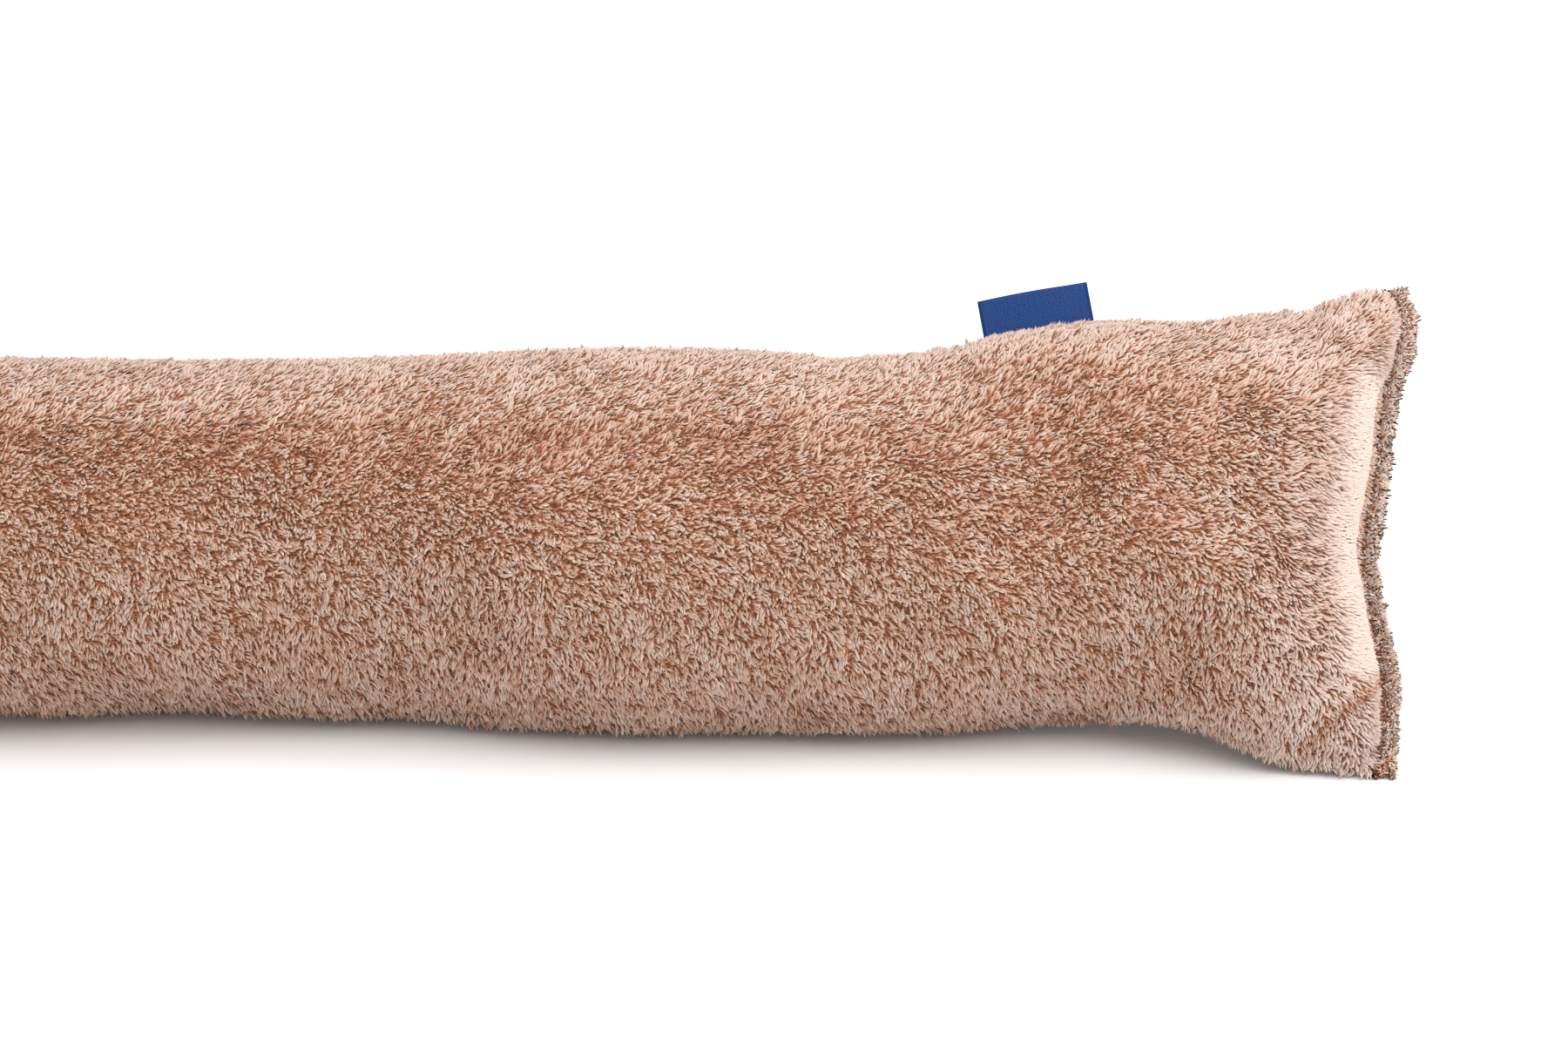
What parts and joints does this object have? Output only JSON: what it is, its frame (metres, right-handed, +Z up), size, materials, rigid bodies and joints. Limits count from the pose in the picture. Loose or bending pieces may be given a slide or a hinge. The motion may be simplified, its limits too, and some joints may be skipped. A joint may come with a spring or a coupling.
{
  "type": "draught excluder",
  "caption": "Soft stuffed plush tube that lies along the foot of a door to stop draughts, with flat stitched ends that flare into pinched corners and a folded woven label in its top seam",
  "frame": {"origin": "on the floor, under the middle of the object's box", "axes": "X along the tube with the labelled end at +X, Z up from the floor, and the front, which the lower corners point to, at -Y"},
  "size_m": [0.9004, 0.1508, 0.1473],
  "materials": {
    "plush_fleece": "dusty pink plush fleece with a short, clumped, brushed pile",
    "woven_ribbon": "navy woven ribbon with a fine satin weave, left bare"
  },
  "bodies": {
    "root": {"filled_cover": "plush_fleece", "woven_label": "woven_ribbon"}
  },
  "joints": []
}
